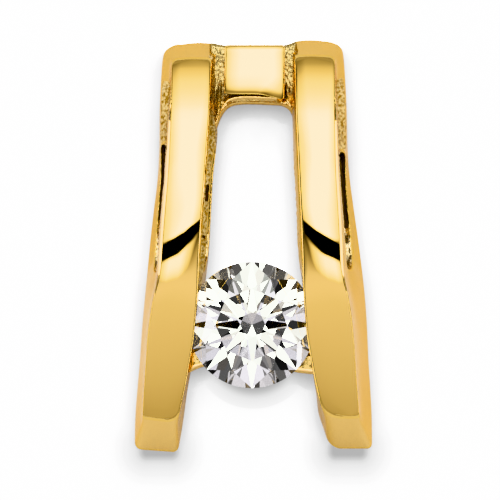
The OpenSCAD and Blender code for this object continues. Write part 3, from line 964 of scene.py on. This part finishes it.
studio = {
    # brightest value in the soft box and in the room, and how bright white paper is
    "brightest": 10, "paperWhite": 14,
    # degrees from straight up towards the bridge end, and how bright the soft box is there
    "box": [(-180, 0), (-18.5, 0), (-13, 1.2), (-8, 8), (-5.6, 8), (-5.3, 0), (1.6, 0), (1.9, 10),
            (50, 10), (54, 8.8), (57, 6), (60, 4.6), (63, 3.5), (66, 2.8), (69, 2.35), (72, 1.7),
            (75, 1.12), (78, 0.72), (82, 0.5), (86, 0)],
    # the same for the room behind it
    "room": [(-180, 0.35), (-92, 0.4), (-88, 0.6), (-54, 0.7), (-48, 0.8), (-43, 0.86), (-36, 0.93),
             (-32, 0.97), (-25, 1.03), (-20, 1.08), (-16, 1.3), (-13, 1.31), (-8, 0.3), (-5.4, 0),
             (78, 0), (82, 0.55), (88, 0.5), (92, 0.3)],
    # tints of both where they are dim and bright, and at what brightness the one turns into the other
    "dimBoxTint": (1, 0.9, 0.8, 1), "boxTint": (1, 1.04, 0.96, 1), "boxTintFull": 2,
    "dimRoomTint": (1, 0.94, 0.88, 1), "roomTint": (1, 0.985, 1.06, 1),
    "roomTintFrom": 0.7, "roomTintRise": 3,
    # degrees to the side, and how much of the soft box and of the room is left there, and plain light
    "boxSide": [(0, 1), (4, 1), (6, 0.7), (10, 0.34), (16, 0.15), (21, 0.03), (25, 0)],
    "roomSide": [(0, 1), (26, 1), (34, 0.25), (62, 0.15), (70, 0.6), (90, 1)],
    "fill": [(0, 0), (22, 0), (30, 0.16), (60, 0.16), (70, 0.42), (90, 0.42)],
    # low boxes at both sides: brightness, lowest and highest degrees above the floor, least share sideways
    "sideBox": 6, "sideBoxFrom": 5, "sideBoxTo": 20, "sideBoxReach": 0.7,
    "floorSize": 60, "floorColour": (0.65, 0.65, 0.7, 1), "skySamples": 16,
    # how bright the paper looks, all of it painted shade: by the share of open sky near by and further off,
    # by mm from a place under the stone, and by mm from the bars' lower ends
    "nearFrom": (0, 0.9, 0.44), "nearReach": 0.8, "farFrom": (0, 0.97, 0.24), "farReach": 2,
    "nearShade": [(0.3, 0.42), (0.38, 0.53), (0.53, 0.68), (0.69, 0.8), (0.74, 0.83), (0.77, 0.95),
                  (0.79, 1.12), (0.83, 1.25), (0.88, 1.4), (0.95, 2), (1, 14)],
    "farShade": [(0.44, 0.7), (0.48, 0.88), (0.51, 0.97), (0.58, 1.22), (0.66, 2.1), (0.75, 5), (0.85, 14)],
    "stoneShadeAt": (0, -4.2, 0),
    "stoneShade": [(0, 0.4), (1.6, 0.42), (1.68, 0.48), (1.85, 0.6), (2.02, 0.79), (2.18, 0.92),
                   (2.51, 1.16), (3, 14), (5, 14)],
    "barEnd": (3.9, -8.42, 0), "barEndHalf": (0.5, 0.1, 0),
    "endShade": [(0.1, 0.5), (0.15, 0.53), (0.22, 0.6), (0.31, 0.69), (0.35, 0.77), (0.48, 0.86),
                 (0.6, 0.93), (0.97, 1.2), (1.3, 2.2), (1.5, 7), (2, 14)],
}


# gives an output one light or surface for the scene and another one for the camera's eye
def showAs(tree, real, shown, end):
    mix = tree.nodes.new("ShaderNodeMixShader")
    isSeen = tree.nodes.new("ShaderNodeLightPath").outputs["Is Camera Ray"]
    for socket, source in zip(mix.inputs, (isSeen, real.outputs[0], shown.outputs[0])):
        tree.links.new(source, socket)
    tree.links.new(mix.outputs[0], end.inputs["Surface"])


def makeWorld():
    world = bpy.data.worlds.new("studio")
    bpy.context.scene.world = world
    world.use_nodes = True
    tree = world.node_tree
    tree.nodes.clear()
    split = tree.nodes.new("ShaderNodeSeparateXYZ")
    tree.links.new(tree.nodes.new("ShaderNodeTexCoord").outputs["Generated"], split.inputs[0])
    x, y, z = split.outputs
    # share of a full turn about x, with half of it straight up, and of a right angle to the side
    sideways = mathNode(tree, "ABSOLUTE", x)
    turn = mathNode(tree, "MULTIPLY_ADD", mathNode(tree, "ARCTAN2", y, z), 1 / (2 * math.pi), 0.5)
    tilt = mathNode(tree, "MULTIPLY", mathNode(tree, "ARCSINE", sideways), 2 / math.pi)

    def brightness(rows):
        ramp = rampNode(tree, turn, rows, -180, 180, studio["brightest"])
        return mathNode(tree, "MULTIPLY", ramp, studio["brightest"])

    def aside(rows):
        return rampNode(tree, tilt, rows, 0, 90, 1)

    boxValue = mathNode(tree, "MULTIPLY", brightness(studio["box"]), aside(studio["boxSide"]))
    boxShare = mathNode(tree, "MULTIPLY", boxValue, 1 / studio["boxTintFull"])
    boxTint = mixNode(tree, boxShare, studio["dimBoxTint"], studio["boxTint"])
    roomBright = brightness(studio["room"])
    roomValue = mathNode(tree, "MULTIPLY", roomBright, aside(studio["roomSide"]))
    rise = studio["roomTintRise"]
    roomShare = mathNode(tree, "MULTIPLY_ADD", roomBright, rise, -rise * studio["roomTintFrom"])
    roomTint = mixNode(tree, roomShare, studio["dimRoomTint"], studio["roomTint"])
    # a long low box at each side
    lowest, highest = (math.sin(math.radians(studio[name])) for name in ("sideBoxFrom", "sideBoxTo"))
    sideBox = mathNode(tree, "GREATER_THAN", sideways, studio["sideBoxReach"])
    for factor in (mathNode(tree, "GREATER_THAN", z, lowest), mathNode(tree, "LESS_THAN", z, highest),
                   studio["sideBox"]):
        sideBox = mathNode(tree, "MULTIPLY", sideBox, factor)
    plain = mathNode(tree, "MAXIMUM", aside(studio["fill"]), sideBox)
    light = vectorNode(tree, "MAXIMUM", vectorNode(tree, "MULTIPLY", boxTint, boxValue),
                       vectorNode(tree, "MULTIPLY", roomTint, roomValue))
    glow = tree.nodes.new("ShaderNodeBackground")
    tree.links.new(vectorNode(tree, "MAXIMUM", light, plain), glow.inputs["Color"])
    white = tree.nodes.new("ShaderNodeBackground")
    white.inputs["Strength"].default_value = studio["paperWhite"]
    showAs(tree, glow, white, tree.nodes.new("ShaderNodeOutputWorld"))


def makeFloor():
    deselectAll()
    bpy.ops.mesh.primitive_plane_add(size=studio["floorSize"] * mm)
    floor = bpy.context.object
    floor.name = "floor"
    material, tree, shader = newMaterial("pale floor")
    shader.inputs["Base Color"].default_value = studio["floorColour"]
    shader.inputs["Roughness"].default_value = 1
    shader.inputs["Specular IOR Level"].default_value = 0

    def joined(*parts):
        node = tree.nodes.new("ShaderNodeCombineXYZ")
        for socket, source in zip(node.inputs, parts):
            feed(tree, socket, source)
        return node.outputs[0]

    def skyShade(normal, reach, rows):
        openSky = tree.nodes.new("ShaderNodeAmbientOcclusion")
        openSky.samples = studio["skySamples"]
        openSky.inputs["Distance"].default_value = reach * mm
        tree.links.new(joined(*normal), openSky.inputs["Normal"])
        return rampNode(tree, openSky.outputs["AO"], rows, 0, 1, studio["paperWhite"])

    def awayShade(distance, rows):
        longest = rows[-1][0]
        share = mathNode(tree, "MULTIPLY", distance, 1 / (longest * mm))
        return rampNode(tree, share, rows, 0, longest, studio["paperWhite"])

    # seen straight on it is glowing white paper with painted shade beside the pendant and under the stone
    place = tree.nodes.new("ShaderNodeTexCoord").outputs["Object"]
    fromStone = vectorNode(tree, "DISTANCE", place, Vector(studio["stoneShadeAt"]) * mm)
    split = tree.nodes.new("ShaderNodeSeparateXYZ")
    tree.links.new(place, split.inputs[0])
    onRight = joined(mathNode(tree, "ABSOLUTE", split.outputs["X"]), split.outputs["Y"])
    offset = vectorNode(tree, "SUBTRACT", onRight, Vector(studio["barEnd"]) * mm)
    offset = vectorNode(tree, "ABSOLUTE", offset)
    past = vectorNode(tree, "SUBTRACT", offset, Vector(studio["barEndHalf"]) * mm)
    fromEnd = vectorNode(tree, "LENGTH", vectorNode(tree, "MAXIMUM", past, (0, 0, 0)))
    shade = skyShade(studio["nearFrom"], studio["nearReach"], studio["nearShade"])
    for other in (skyShade(studio["farFrom"], studio["farReach"], studio["farShade"]),
                  awayShade(fromStone, studio["stoneShade"]), awayShade(fromEnd, studio["endShade"])):
        shade = mathNode(tree, "MINIMUM", shade, other)
    paper = tree.nodes.new("ShaderNodeEmission")
    tree.links.new(mathNode(tree, "MULTIPLY", shade, studio["paperWhite"]), paper.inputs["Strength"])
    showAs(tree, shader, paper, tree.nodes["Material Output"])
    floor.data.materials.append(material)


# lengths in mm, turn in degrees, and clip in metres
view = {"distance": 600, "width": 20.65, "aim": (-0.14, -0.166, 0), "turn": 1.25,
        "sensor": 36, "clip": (0.01, 5)}


def makeCamera():
    turn = math.radians(view["turn"])
    away = Vector((math.sin(turn), 0, math.cos(turn))) * view["distance"]
    data = bpy.data.cameras.new("camera")
    data.sensor_width = view["sensor"]
    data.lens = view["sensor"] * view["distance"] / view["width"]
    data.clip_start, data.clip_end = view["clip"]
    camera = bpy.data.objects.new("camera", data)
    bpy.context.scene.collection.objects.link(camera)
    camera.location = (Vector(view["aim"]) + away) * mm
    camera.rotation_euler = (0, turn, 0)
    bpy.context.scene.camera = camera


makeWorld()
makeFloor()
makeCamera()
bpy.context.scene.view_settings.view_transform = "Khronos PBR Neutral"
print("studio made")
